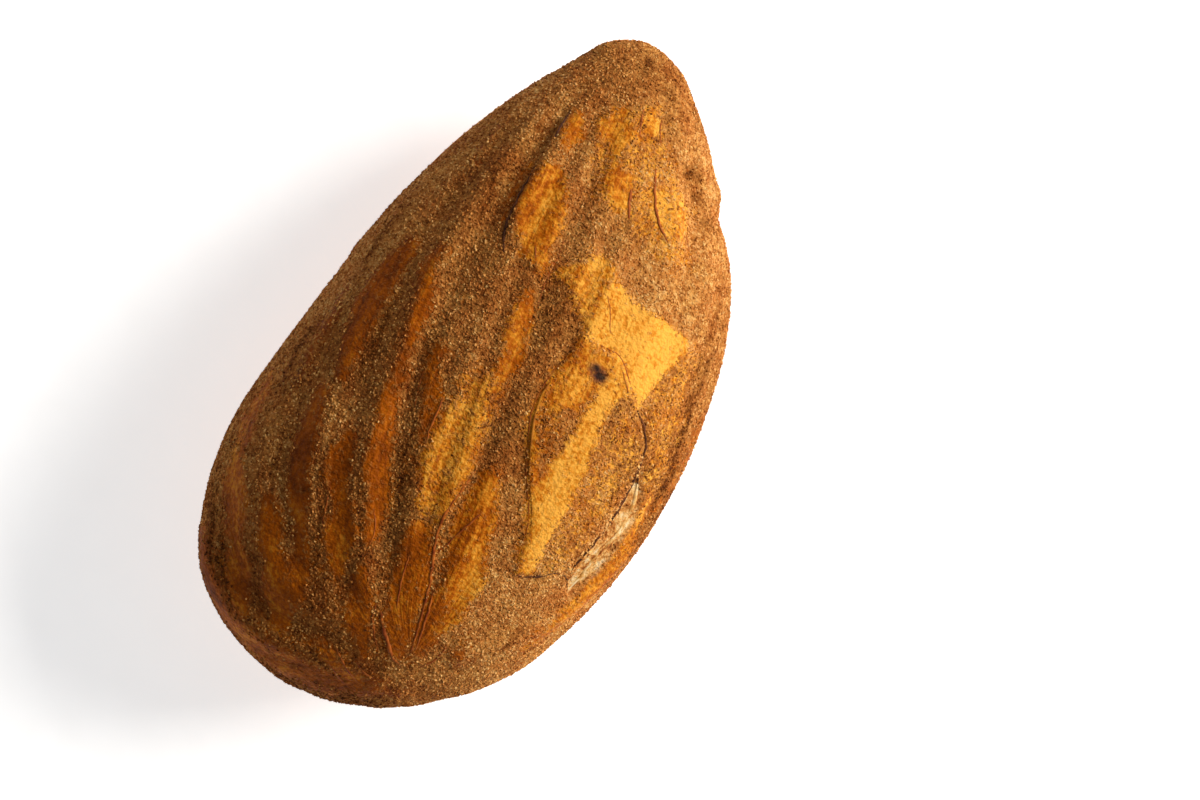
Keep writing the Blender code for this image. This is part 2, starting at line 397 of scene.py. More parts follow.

# %% [markdown]
# ## Where the amber shows
#
# On the front the bare streaks are given one by one, each as a line with a half width and a
# brightness. That is slower than noise, but noise never looks like the marks that one
# real kernel was rubbed with. Larger patches are outlines. On the back and round the rim,
# streaks follow a rule: they run with the veins, swell, and break off.

# %% Bare streaks and patches on the front
# half width, how bare, brightness, and the line as x and y by turns, seen from above. The
# brightness is partly the amber's own tone and partly painted light: on the whole, streaks on
# the left, away from the lamp, are given darker and those on the right lighter.
STREAKS = (
    (0.42, 1.0, 0.3, (-4.15, 2.5, -4.4, 1.4, -4.42, 0.2, -4.35, -1, -4.1, -2.2)),
    (0.22, 0.8, 0.3, (-5.4, 0.2, -5.4, -1.4, -5.3, -3.4)),
    (0.3, 0.95, 0.4, (-3.2, 2.8, -3.35, 2, -3, 1.3, -2.8, 0.4, -2.7, -0.8)),
    (0.34, 0.92, 0.28, (-2.6, -0.8, -2.5, -1.8, -2.35, -2.8)),
    (0.4, 0.85, 0.36, (-1.9, 0, -1.6, -1, -1.2, -1.7, -0.95, -2.8)),
    (0.42, 0.98, 0.34, (-4.5, -2.9, -4.3, -4.1, -3.95, -5.2, -3.5, -6.3, -3.05, -7.2)),
    (0.38, 0.95, 0.32, (-3, -7.2, -2.6, -8.1, -2.1, -9.2)),
    (0.44, 0.98, 0.32, (-3.1, -3.7, -2.9, -4.7, -2.55, -5.5)),
    (0.5, 1.0, 0.48, (-2.4, -5.4, -2.05, -6.3, -1.75, -6.9, -1.4, -7.6)),
    (0.4, 1.0, 0.38, (-2.3, -2.4, -2.05, -3.4, -1.75, -4.3, -1.3, -5.1, -0.9, -6.3)),
    (0.2, 0.95, 0.54, (-6.3, -3.2, -6.22, -4.3, -6.12, -5.2, -5.95, -6)),
    (0.44, 1.0, 0.56, (-5.95, -6.1, -5.6, -6.9, -5.1, -7.8, -4.7, -8.6)),
    (0.42, 0.98, 0.52, (-4.7, -8.4, -4.2, -9.3, -3.6, -10.2)),
    (0.4, 0.98, 0.46, (-4.35, -6.7, -3.9, -7.5, -3.4, -8.4)),
    (0.5, 1.0, 0.52, (-3.4, -8.1, -2.9, -9, -2.2, -10)),
    (0.4, 0.95, 0.36, (-0.75, -7.2, -0.4, -8.1, 0, -8.9, 0.55, -9.7)),
    (0.3, 0.9, 0.42, (-5.9, -8.6, -5.1, -9.8, -3.9, -10.7, -2.2, -11.2, 0.2, -11.35)),
    (0.26, 0.85, 0.36, (-2.4, -10.6, -1, -10.9, 0.6, -10.8, 2, -10.3)),
    (0.26, 0.92, 0.4, (-1.2, -9.9, -0.2, -10.3, 0.6, -10.5, 1.4, -10.1)),
    (0.22, 0.9, 0.36, (-3.4, -10.5, -1.8, -10.9, -0.2, -11, 1.2, -10.8)),
    (0.72, 0.82, 0.9, (-0.1, -0.5, -0.15, -1.8, -0.15, -3, 0.1, -4.4)),
    (0.4, 0.88, 0.66, (0.45, -1.8, 0.45, -3.2, 0.55, -4.6)),
    (0.62, 0.98, 0.42, (0.35, -5.3, 0.6, -6.4, 0.9, -7.5, 1.35, -9)),
    (0.66, 1.0, 0.54, (1.45, -2.9, 1.6, -3.8, 1.75, -4.8, 2, -5.7, 2.1, -6.5)),
    (0.44, 1.0, 0.96, (2.15, -5, 2.35, -6, 2.38, -6.6)),
    (0.36, 1.0, 0.66, (2.38, -6.5, 2.36, -7.2, 2.25, -7.9)),
    (0.42, 0.98, 0.36, (1.75, -6.6, 1.9, -7.8, 2, -8.8)),
    (0.24, 0.7, 0.46, (3.15, -7.6, 3.2, -8.5)),
    (0.4, 0.92, 0.52, (-0.2, 2.7, -0.05, 1.9, 0.3, 0.9, 0.4, -0.2)),
    (0.24, 0.92, 0.6, (6.1, -1.2, 6.2, -2.6, 6.08, -3.8, 5.75, -5, 5.35, -6.2, 4.9, -7.2)),
    (0.16, 0.75, 0.5, (6.5, 1.8, 6.62, 0.2, 6.6, -1.4)),
    (0.42, 0.9, 0.5, (-1.5, 8.5, -1.35, 7.5)),
    (0.8, 0.98, 0.64, (-1.3, 6.4, -1.15, 5.6, -0.95, 4.9, -0.65, 4.1)),
    (0.46, 0.92, 0.58, (-1, 4.4, -0.3, 3.8)),
    (0.18, 0.85, 0.4, (-2.12, 6.6, -2.15, 5.4, -2.05, 4.4)),
    (0.16, 0.65, 0.34, (-2.2, 7.9, -2.25, 7.3)),
    (0.14, 0.65, 0.26, (-3.6, 6.9, -3.7, 5)),
    (0.62, 0.92, 0.43, (-0.3, 9.2, -0.15, 8.7, 0, 8.2)),
    (0.34, 0.85, 0.76, (0.55, 9.8, 0.75, 9.3, 0.9, 9)),
    (0.48, 0.92, 0.43, (0.3, 7.6, 0.7, 7.1, 1, 6.6)),
    (0.64, 0.72, 0.88, (1.9, 7.6, 2.5, 7.1, 3.1, 6.4)),
    (0.45, 0.56, 0.78, (1.6, 8.6, 1.4, 7.9)),
    (0.45, 0.54, 0.76, (2.3, 6.2, 3.4, 5.9)),
    (0.42, 0.98, 0.76, (2.6, 1.6, 2.4, 0.9, 2.2, 0.2)),
    (0.32, 0.92, 0.78, (2.7, 2.15, 3.3, 2.15, 3.9, 1.55)),
    (0.17, 0.98, 0.62, (
        1.95, 2.4, 1.85, 1.4, 1.66, 0.6, 1.65, -0.1, 1.88, -0.9, 2.3, -1.6, 2.75, -2.5,
        3.15, -3.3, 3.4, -4.3, 3.55, -5,
    )),
)
# how bare, brightness and outline; the brightness, as for the streaks, is partly painted
# light and shade
PATCHES = (
    (0.8, 0.8, (
        0.2, 4.2, 0.8, 4.6, 1, 5, 1.5, 5, 2.2, 4.5, 2.4, 4.3, 2.3, 3.4, 1.9, 2.6, 1.4, 2.9,
        1.2, 3.3, 0.7, 3.55, 0.1, 3.7,
    )),
    (1.0, 0.93, (
        1.9, 4.5, 2.2, 4.5, 2.8, 4.1, 3.4, 4.15, 4.3, 4, 4.95, 3.9, 5.05, 3.4, 4.85, 2.7,
        4.7, 2.1, 4.6, 1.6, 4.6, 1.15, 3.95, 1.7, 3.5, 2.1, 3, 2.4, 2.4, 2.4, 1.95, 2.45,
        1.8, 2.7, 1.9, 3.4,
    )),
    (0.53, 0.84, (
        5, 3.9, 5.5, 3.6, 5.9, 2, 6.2, 0.5, 6.3, -1, 6.2, -3, 5.95, -3.6, 6, -2.2, 5.8, -1,
        5.4, 0.2, 4.7, 1.2, 4.4, 1.9, 4.8, 2.7,
    )),
    (1.0, 0.87, (
        2.9, 1.6, 3.3, 1.9, 3.95, 1.5, 3.75, 0.9, 3.8, 0, 3.95, -1, 4.05, -2, 4, -3.2,
        3.98, -4.95, 3.5, -5.15, 3.26, -4.2, 3.05, -3.5, 2.55, -2.6, 2.7, -1.8, 2.85, -1.2,
        3, -0.4, 2.95, 0.3, 3.15, 0.9,
    )),
    (0.84, 0.66, (1.9, 2.5, 1.72, 1, 1.64, 0.3, 1.9, -0.1, 2.4, 0, 2.9, 0.2, 3.3, 1.3, 3.1, 2.3)),
    (0.52, 0.56, (1.6, 0.3, 1.7, -0.4, 2.2, -1.6, 3.1, -3.4, 3, -2.2, 2.85, -0.3, 2.6, 0.3)),
    (0.52, 0.84, (
        -0.8, 9.4, 0.9, 9.9, 1.8, 8.8, 3.2, 7.2, 4.1, 5.9, 2.6, 5.7, 1.2, 6.2, 0.1, 6.4,
        -0.5, 7.4, -0.9, 8.4,
    )),
    (0.5, 0.62, (-0.9, 0.2, 0.7, 0.2, 0.8, -2, 0.9, -4.8, 0.2, -5.4, -0.9, -4.2, -1.1, -2)),
    (0.5, 0.44, (-0.2, -5.2, 2.6, -4.6, 2.7, -7.5, 2.2, -9.4, 0.4, -9.8, -0.4, -7.2)),
    (0.44, 0.44, (
        -6.4, -6, -3, -6.5, -0.5, -8, 0.5, -10, 1.6, -10.4, 0, -11.5, -3, -11.3, -5.4, -9.5,
    )),
    (0.28, 0.4, (
        -4.9, 2.6, -2.5, 2.9, -2.2, -0.5, -0.8, -0.3, -0.7, -3, -1, -6.6, -3.4, -6.5, -4.9, -3.5,
    )),
    (0.48, 0.82, (
        4, 1.3, 4.9, 0.6, 5.3, 0, 5.3, -1, 5.2, -2.6, 4.9, -4.2, 4.1, -4.9, 4, -3.4, 3.9, -1.6,
    )),
)
STREAK_SOFTNESS = 0.38  # the fields below change from 0 to 1 over twice this
PATCH_SOFTNESS = 0.30
STREAK_SPREAD = 0.06  # mm added to every half width
STREAK_ENDS = 0.35  # a streak's half width at its ends, as a share of that in its middle
GLIMPSES = 0.16  # how bare the scurf is in general
GLIMPSE_BRIGHTNESS = 0.4
FAINT = 0.02  # the weight of what holds where nothing is placed
BACK_WAVES = ((11, 0.3, 0.5), (17, 1.9, 0.8), (23, 4.2, 0.6))  # count, phase, sway
BACK_STREAKED = (0.5, 4.0, 18.5, 22.0)  # along the chord: fades in, then out


def streak_field(plan):
    """Of each corner: how deep it lies in bare skin, 0.5 at the edge, and how bright, which is partly
    the amber's own tone and partly painted light and shade.
    """
    bare = np.full(len(plan), GLIMPSES)
    bright = np.full(len(plan), GLIMPSE_BRIGHTNESS * FAINT)
    weight = np.full(len(plan), FAINT)
    depths = []
    for half_width, share, brightness, line in STREAKS:
        gap, place = distance_to_line(plan, line)
        swell = np.sin(np.pi * np.clip(place, 0.04, 0.96)) ** 0.6
        taper = half_width * (STREAK_ENDS + (1.0 - STREAK_ENDS) * swell)
        depths.append((share, brightness, taper + STREAK_SPREAD - gap, STREAK_SOFTNESS))
    for share, brightness, outline in PATCHES:
        depths.append((share, brightness, depth_inside(plan, outline), PATCH_SOFTNESS))
    for share, brightness, depth, softness in depths:
        there = smoothstep(-softness, softness, depth)
        bare = np.maximum(bare, share * there)
        bright += brightness * there**2
        weight += there**2
    return bare, bright / weight


def rule_field(angle, along):
    """The same for the back, where streaks run with the veins and break off."""
    wave = 0.0
    for count, phase, sway in BACK_WAVES:
        wave = wave + np.cos(count * angle + phase + sway * np.sin(0.5 * along + phase))
    places = np.stack([6.0 * angle, 0.35 * along, np.zeros(len(along))], axis=1)
    depth = 0.365 + 0.28125 * wave + 0.396 * drift(places, 1.0, 3)
    return np.clip(depth * between(*BACK_STREAKED, along), 0.0, 1.0)


# x, y, reach, and how pale the scurf is there, from 0 to 1
SCURF_TONES = (
    (2.6, 8.6, 0.3, 0.2), (3.2, 8, 0.35, 0.44), (3.9, 7.3, 0.4, 0.56), (3.55, 8.45, 0.2, 0.98),
    (-0.5, 10.4, 1.5, 0.55), (0.2, 10.9, 0.6, 0.46), (2.9, 8.3, 0.9, 0.76), (3.9, 6, 1.8, 0.74),
    (1, 5.9, 0.9, 0.66), (1.8, 6.3, 0.5, 0.5), (-0.3, 6.6, 0.9, 0.64), (-3, 4.6, 1.8, 0.54),
    (-4.9, 4.6, 1.2, 0.7), (-1.2, 2.3, 1.2, 0.6), (-0.4, 3.2, 0.5, 0.4), (0.8, 2.8, 0.7, 0.38),
    (1.3, 0.4, 0.9, 0.52), (1, -1.4, 0.7, 0.46), (2.9, 0.5, 0.5, 0.54), (2.4, -0.8, 0.4, 0.5),
    (4.6, -1.8, 1, 0.7), (5.8, 2, 1, 0.58), (-3.4, -0.8, 1.2, 0.5), (-5, -5, 1.8, 0.64),
    (-1, -5, 1.2, 0.48), (-1, -9, 1.2, 0.48), (3.6, -6.6, 1.6, 0.71), (2.8, -3.6, 0.6, 0.6),
    (2.6, -9.2, 1, 0.58), (0, -11.2, 1.2, 0.34), (-4, -10.4, 1.2, 0.46), (6.3, -1, 1.4, 0.44),
    (-5.8, 1, 1.2, 0.76), (5.4, -7, 1, 0.72), (-1.1, -6.6, 0.7, 0.42), (-2.2, 8.8, 1, 0.66),
)
BACK_TONE = 0.62
BACK_BRIGHTNESS = 0.62
FURROWS = 26  # all the way round
FURROW_DARK = 0.26
BACK_FURROWED = (0.5, 4.0, 18.0, 22.0)
STRAY = 0.14  # mm that the edge of a placed mark wanders
# darker lines along the rim and beside streaks and patches: half width, how much darker,
# line. Partly the skin's own darker lines, partly painted shade laid in the rim's grooves
# and in the hollows beside the raised streaks.
DARK_AND_SHADED_LINES = (
    (0.1, 0.3, (4.75, 6.7, 5.2, 5.8, 5.5, 4.2, 5.65, 3, 5.7, 1.6)),
    (0.1, 0.28, (5.35, 6.2, 5.75, 4.6, 5.95, 3.2, 6.1, 1.6, 6.2, 0.2)),
    (0.14, 0.34, (-0.55, 11.2, -0.3, 11.1, -0.2, 10.9)),
    (0.2, 0.5, (2.5, 8.8, 2.62, 8.5)),
    (0.13, 0.42, (2.95, 8.15, 3.25, 7.85)),
    (0.11, 0.26, (3.5, 7.6, 3.9, 7.2)),
    (0.09, 0.3, (5.9, 2.9, 6.05, 1.4, 6.35, 0, 6.42, -1.2)),
    (0.11, 0.3, (4.7, -6.2, 4.3, -7.2, 4, -7.8)),
    (0.09, 0.3, (3.75, -6.9, 3.55, -7.6)),
    (0.14, 0.36, (-4.9, 3.9, -5.1, 2.8, -5.25, 1.4, -5.1, 0.2)),
    (0.12, 0.3, (-3, 6.2, -2.75, 5, -2.7, 3.9)),
    (0.12, 0.26, (-3.9, 1.6, -3.75, 0.2, -3.7, -1.2, -3.6, -2.6)),
    (0.12, 0.26, (-3.6, -3.6, -3.3, -4.8, -2.9, -6, -2.4, -7.2, -1.7, -8.6)),
    (0.12, 0.26, (-5.1, -4, -4.9, -5.4, -4.4, -6.4)),
    (0.11, 0.26, (-1.3, -1.6, -1.35, -3, -0.9, -4.6, -0.5, -6)),
    (0.13, 0.34, (-5.7, -0.6, -5.85, -2.2, -5.8, -3.6)),
    (0.13, 0.34, (-6.4, -6.6, -6, -7.9, -5.4, -9.1, -4.5, -10.2, -3.3, -10.9)),
    (0.12, 0.32, (-5.6, -7.9, -5, -9, -4.3, -9.9, -3.2, -10.7, -1.6, -11)),
)


def tone_and_shade_field(plan):
    total = np.full(len(plan), FAINT * BACK_TONE)
    weight = np.full(len(plan), FAINT)
    for x, y, reach, tone in SCURF_TONES:
        near = np.exp(-((plan[:, 0] - x) ** 2 + (plan[:, 1] - y) ** 2) / reach**2)
        total += near * tone
        weight += near
    tones = total / weight
    # Painted shade in part: these darker lines deepen the rim's grooves and the hollows beside the
    # raised streaks.
    for half_width, darker, line in DARK_AND_SHADED_LINES:
        gap, place = distance_to_line(plan, line)
        taper = np.sin(np.pi * np.clip(place, 0.05, 0.95))
        tones -= darker * taper * np.exp(-((gap / half_width) ** 2))
    return tones


def rule_tones(angle, along):
    """Scurf on the back: paler and darker by turns, with dark lines in the furrows."""
    furrow = np.cos(FURROWS * angle + 0.7 * np.sin(0.5 * along + 2.0 * angle))
    darker = FURROW_DARK * between(*BACK_FURROWED, along) * smoothstep(0.55, 1.0, furrow)
    return BACK_TONE + 0.10 * drift_coarse - darker


facing = smoothstep(RIM_HEIGHT - 0.6, RIM_HEIGHT + 0.9, smooth[:, 2])  # 1 on the front


def front_or_back(front, back):
    return facing * front + (1.0 - facing) * back


plan = smooth[:, :2] + STRAY * np.stack([drift_fine, drift(smooth, 0.7, 4)], axis=1)
front_bare, front_tone_and_light = streak_field(plan)
bare = front_or_back(front_bare, rule_field(vein_angle, vein_along))
# On the front this brightness holds painted light and shade as well as the amber's own tone; on the
# back it is the tone alone.
bright = front_or_back(front_tone_and_light, BACK_BRIGHTNESS + 0.25 * drift_coarse)
tone = front_or_back(tone_and_shade_field(plan), rule_tones(vein_angle, vein_along))
print("bare skin covers", round(100 * float((bare > 0.5).mean())), "% of the net's corners")

# %% [markdown]
# ## Relief
#
# A kernel's skin is thin and clings to the seed, so its relief is low, a tenth of a
# millimetre or two: ribs that follow the veins, the rubbed streaks, which stand a little
# proud, a loose flake with a torn strip beside it, a fold, the knobs and grooves of the
# rim, and a rough pit near the tip. A slight waviness keeps the rest from looking cast.
# All are summed as heights along the skin's normal.

# %% The height of every mark
VEIN_WAVES = ((9, 0.05, 0.4), (16, 0.08, 2.1), (25, 0.07, 4.0))  # count, rise, phase
RIB_SWELL = 0.35  # how far a rib's height comes and goes along it
RIB_BEND = 0.10  # radians that it wanders
FINEST_RIB = 0.6  # mm between two ribs, below which they fade out
RIM_RIBS = 0.25  # the share of a rib's height that is left on the rim
RIM_CALM = (0.5, 2.6)  # mm from the rim, between which it grows to its full height
FLAT_PLACE = (3.2, -0.2)  # round the flake the skin is nearly flat
FLAT_REACH = (2.3, 5.2)
FLAT_SHARE = 0.8
FLAKE_OUTLINE = (
    2.73, 2.39, 3.14, 2.39, 3.5, 2.16, 3.95, 1.71, 4.5, 1.16, 4.86, 0.8, 5.18, 0.35, 5.32, -0.2,
    5.41, -0.65, 5.34, -1.4, 5.36, -2.1, 5.23, -2.75, 5.05, -3.56, 4.7, -4.3, 4.4, -4.75,
    3.7, -5.1, 3.5, -5.2, 3.36, -4.29, 3.23, -3.56, 2.91, -2.93, 2.5, -2.29, 2.18, -1.65,
    1.91, -1.02, 1.68, -0.38, 1.59, 0.25, 1.68, 0.98, 1.86, 1.9, 1.88, 2.5, 2.3, 2.45,
)
FLAKE_RISE = 0.07
FLAKE_BEVEL = 0.16
TEAR_OUTLINE = (
    5.55, -0.7, 5.9, -1.05, 6.05, -1.9, 6.02, -2.8, 5.86, -3.8, 5.45, -5, 5.15, -4.8, 5.25, -4,
    5.4, -3, 5.48, -2, 5.48, -1.2,
)
TEAR_DEPTH = 0.10  # where the strip beside the flake is torn off
TEAR_BEVEL = 0.16
FOLD_LINE = ((3.6, 4.8, 6.2, 7.4, 8.6), (-1.55, -1.85, -1.9, -1.85, -1.8))  # y, then x
FOLD_ENDS = (3.6, 4.6, 7.6, 8.8)
FOLD_STEP = 0.09
FOLD_REACH = 0.8
KNOBS = (  # middle, radius and rise
    ((3.55, 8.55, 4.6), 0.75, 0.16),
    ((2.80, 8.45, 6.6), 0.85, -0.24),
    ((4.00, 7.75, 4.6), 0.60, -0.10),
    ((-6.05, 1.75, 4.4), 0.80, 0.09),
    ((-1.85, 11.05, 4.6), 0.70, 0.10),
    ((0.80, 11.20, 4.6), 0.80, 0.07),
)
PIT = (3.0, 8.2)
PIT_REACH = 0.9
PIT_ROUGHNESS = 0.10
RIM_GROOVES = ((0.16, 0.05, 0.06), (0.36, 0.05, 0.05), (-0.20, 0.06, 0.09))
# angle above the rim, spread, depth, and below, the y where they fade in and out
RIM_GROOVED = (-8.5, -6.5, 5.0, 7.0)
REST_CENTRE = (0.1, -1.2)  # no relief near the spot that the kernel rests on
REST_REACH = (2.6, 4.2)
STREAK_RISE = 0.06
WAVINESS = 0.05


def rib_relief(points):
    height = np.zeros(len(points))
    for count, rise, phase in VEIN_WAVES:
        wave = np.sin(0.45 * points[:, 1] + 2.0 * phase + 3.0 * vein_angle)
        swell = 1.0 - RIB_SWELL + RIB_SWELL * wave
        bend = RIB_BEND * np.sin(0.55 * points[:, 1] + phase)
        spacing = math.tau * vein_reach / count
        there = smoothstep(FINEST_RIB, 2.0 * FINEST_RIB, spacing)
        height += rise * swell * there * np.cos(count * vein_angle + bend + phase)
    away = smoothstep(*RIM_CALM, np.abs(points[:, 2] - RIM_HEIGHT))
    gap = np.linalg.norm((points[:, :2] - FLAT_PLACE) / FLAT_REACH, axis=1)
    flat = np.exp(-(gap**4))
    return height * (RIM_RIBS + (1.0 - RIM_RIBS) * away) * (1.0 - FLAT_SHARE * flat * facing)


def bevelled(depth, bevel):
    return smoothstep(-bevel / 2, bevel / 2, depth)


def front_marks(points):
    """How much of the flake, the tear and the fold there is at each corner."""
    xy = points[:, :2]
    top = smoothstep(RIM_HEIGHT, RIM_HEIGHT + 1.0, points[:, 2])
    flake = bevelled(depth_inside(xy, FLAKE_OUTLINE), FLAKE_BEVEL) * top
    tear = bevelled(depth_inside(xy, TEAR_OUTLINE), TEAR_BEVEL) * top
    side = xy[:, 0] - np.interp(xy[:, 1], *FOLD_LINE)
    fold = between(-0.06, 0.08, 0.0, FOLD_REACH, side) * between(*FOLD_ENDS, xy[:, 1])
    return flake * (1.0 - tear), tear, fold * top


def rim_relief(points):
    height = np.zeros(len(points))
    for centre, radius, rise in KNOBS:
        gap = np.linalg.norm(points - np.array(centre), axis=1) / radius
        height += rise * np.exp(-2.0 * gap**2)
    middle = station_value(1, points[:, 1])
    angle = np.arctan2(points[:, 2] - RIM_HEIGHT, points[:, 0] - middle)
    ends = between(*RIM_GROOVED, points[:, 1])
    for at, spread, depth in RIM_GROOVES:
        height -= depth * ends * np.exp(-(((angle - at) / spread) ** 2))
    return height


def rest_fade(points):
    """0 round the flat spot, 1 away from it."""
    gap = np.linalg.norm((points[:, :2] - REST_CENTRE) / REST_REACH, axis=1)
    return np.where(points[:, 2] < RIM_HEIGHT, smoothstep(0.6, 1.5, gap), 1.0)


flake, tear, fold = front_marks(smooth)
relief = rib_relief(smooth) + rim_relief(smooth) + WAVINESS * drift_coarse
relief += FLAKE_RISE * flake - TEAR_DEPTH * tear + FOLD_STEP * fold
relief += STREAK_RISE * smoothstep(0.2, 0.8, bare)
pit_gap = np.linalg.norm(smooth[:, :2] - PIT, axis=1) / PIT_REACH
relief += facing * PIT_ROUGHNESS * np.exp(-(pit_gap**2)) * drift(smooth, 0.34, 5)
print("relief runs from", relief.min().round(2), "to", relief.max().round(2), "mm")

# %% [markdown]
# ## The skin's mesh and what it carries
#
# The fields above are stored on the mesh as named attributes, one number for each corner,
# and the material reads them by name. That keeps the paint tied to the relief: the two
# come from the same lines, so a bare streak is both smoother and a little higher.

# %% Kernel mesh with its fields
SPOTS = (((2.95, 1.55), (0.28, 0.26)), ((2.73, 1.70), (0.24, 0.17)))  # places and radii
CRUMB_LINE = (5.3, -0.2, 5.42, -0.9, 5.47, -1.7, 5.42, -2.5, 5.22, -3.3, 5.1, -4.1, 4.7, -4.5)
CRUMB_REACH = 0.13
SPOT_FADE = 1.5  # radii from its middle at which a spot is gone


def spot_field(xy):
    gaps = [np.linalg.norm((xy - place) / radii, axis=1) for place, radii in SPOTS]
    return np.clip(SPOT_FADE - np.min(gaps, axis=0), 0.0, 1.0)


def make_mesh(name, points, faces):
    mesh = bpy.data.meshes.new(name)
    mesh.vertices.add(len(points))
    mesh.vertices.foreach_set("co", (points * MM).ravel())
    mesh.loops.add(faces.size)
    mesh.loops.foreach_set("vertex_index", faces.ravel())
    mesh.polygons.add(len(faces))
    mesh.polygons.foreach_set("loop_start", np.arange(len(faces)) * faces.shape[1])
    mesh.update(calc_edges=True)
    return mesh


def set_field(mesh, name, values):
    mesh.attributes.new(name, "FLOAT", "POINT").data.foreach_set("value", values)


skin_mesh = make_mesh("seed_coat", smooth, quads)
normals = np.empty((len(smooth), 3), np.float32)
skin_mesh.vertex_normals.foreach_get("vector", normals.ravel())
raised = smooth + normals * (relief * rest_fade(smooth))[:, None]
raised[:, 2] = np.maximum(raised[:, 2], 0.0)
skin_mesh.vertices.foreach_set("co", (raised * MM).ravel())
skin_mesh.update()
skin_mesh.shade_smooth()

uv_layer = skin_mesh.uv_layers.new(name="OFBake")
uv_layer.uv.foreach_set("vector", corner_uvs.reshape(-1))

crumb_gap, _ = distance_to_line(smooth[:, :2], CRUMB_LINE)
off_the_card = smoothstep(0.05, 0.3, raised[:, 2])
fields = {
    "bare": bare * (1.0 - tear),
    "bright": bright,
    "tone": tone,
    "scurf": (1.0 - tear) * (1.0 - smoothstep(0.30, 0.84, bare)) * off_the_card,
    "crumbs": facing * np.exp(-((crumb_gap / CRUMB_REACH) ** 2)),
    "flesh": tear,
    "spot": spot_field(smooth[:, :2]) * facing,
}
for name, values in fields.items():
    set_field(skin_mesh, name, values)

FLOW_RADIUS = 5.5  # the veins' angle becomes a place on a cylinder this wide
flow = skin_mesh.attributes.new("flow", "FLOAT_VECTOR", "POINT")
flow_places = np.stack(
    [FLOW_RADIUS * np.cos(vein_angle), FLOW_RADIUS * np.sin(vein_angle), vein_along], axis=1
)
flow.data.foreach_set("vector", flow_places.ravel())
seed_coat = link_object("seed_coat", skin_mesh)
print("the skin has", 2 * len(quads), "triangles")

# %% [markdown]
# ## The skin's finish
#
# Almond skin is a dry seed coat, a sheet of tannin-brown cells. Its scurf scatters light
# like felt, so it is rough and shows no gloss, only grain. The bare membrane is smoother
# and lets some light in, which is why it glows amber. One material holds both and chooses
# between them where the `bare` field, roughened by fine noise, passes a half. Every noise
# has its scale from a size in millimetres. Real cells are a few hundredths across, too
# fine to show, so the grains are drawn about a tenth wide, and the fibres as coarse.

# %% Scurf colours, shared by the skin and its loose grains
GRAIN = 0.11  # mm, as are the five sizes below
CLUMP = 0.21
FLECK = 0.14
FIBRE = 0.09
MOTTLE = 0.30
BLOTCH = 0.9
FACTOR, MIX_A, MIX_B, MIXED = 0, 6, 7, 2  # sockets of a colour Mix node
SCURF_RAMP = ((0.0, "522810"), (0.25, "7C4618"), (0.5, "AD6F33"), (0.75, "D29048"), (1.0, "EBBA72"))
BLOTCH_TINTS = ((0.36, "E4B692"), (0.60, "FFFFFF"))


def per_mm(size):
    """A texture scale, in metres, whose features are about this many millimetres."""
    return 1.0 / (size * MM)


def cloudy(tree, layers):
    """One noise for each layer, given as its size in mm, its detail and its roughness."""
    place = add(tree, "ShaderNodeTexCoord", {}).outputs["Object"]
    return [
        add(
            tree,
            "ShaderNodeTexNoise",
            {"Vector": place, "Scale": per_mm(size), "Detail": detail, "Roughness": roughness},
        )
        for size, detail, roughness in layers
    ]


def varied(tree, base, *layers):
    """The base plus each layer, whose 0 and 1 become the low and high that it comes with."""
    for layer, low, high in layers:
        swing = add(tree, "ShaderNodeMath", {0: layer, 1: high - low, 2: low}, operation="MULTIPLY_ADD")
        base = add(tree, "ShaderNodeMath", {0: base, 1: swing}, operation="ADD")
    return base


def scurf_colours(tree, lift):
    """The placed tone, varied clump by clump and grain by grain, and redder in blotches."""
    tone, own = (
        add(tree, "ShaderNodeAttribute", {}, attribute_name=name).outputs["Fac"]
        for name in ("tone", "own_tone")
    )
    clumps, blotches = cloudy(tree, ((CLUMP, 3.0, 0.8), (BLOTCH, 3.0, 0.6)))
    value = varied(tree, tone, (own, 0.0, 1.0), (clumps, lift - 0.7, lift + 0.7))
    grain_tone = add(tree, "ShaderNodeValToRGB", {"Fac": value}, SCURF_RAMP)
    blotch_tone = add(tree, "ShaderNodeValToRGB", {"Fac": blotches}, BLOTCH_TINTS)
    return add(
        tree,
        "ShaderNodeMix",
        {FACTOR: 0.5, MIX_A: grain_tone, MIX_B: blotch_tone},
        data_type="RGBA",
        blend_type="MULTIPLY",
    ).outputs[MIXED]


# %% Seed coat: its fields and noises
# The ramp's dark, redder end is partly painted shade: it colours the amber whose placed brightness is
# low because it faces away from the lamp.
AMBER_RAMP = (
    (0.05, "5A2604"), (0.30, "934506"), (0.50, "B65C08"), (0.72, "DE8A22"), (0.95, "FAB043"),
)
FLESH_RAMP = ((0.40, "8A4A1E"), (0.46, "C68240"), (0.52, "E2AC66"), (0.60, "F4D4A0"))
VEIN_RED = "5E2209"
SPOT_LAYERS = ((0.15, 0.75, 0.60, "5C3A30"), (0.65, 1.05, 0.90, "1D181B"))  # halo, then middle

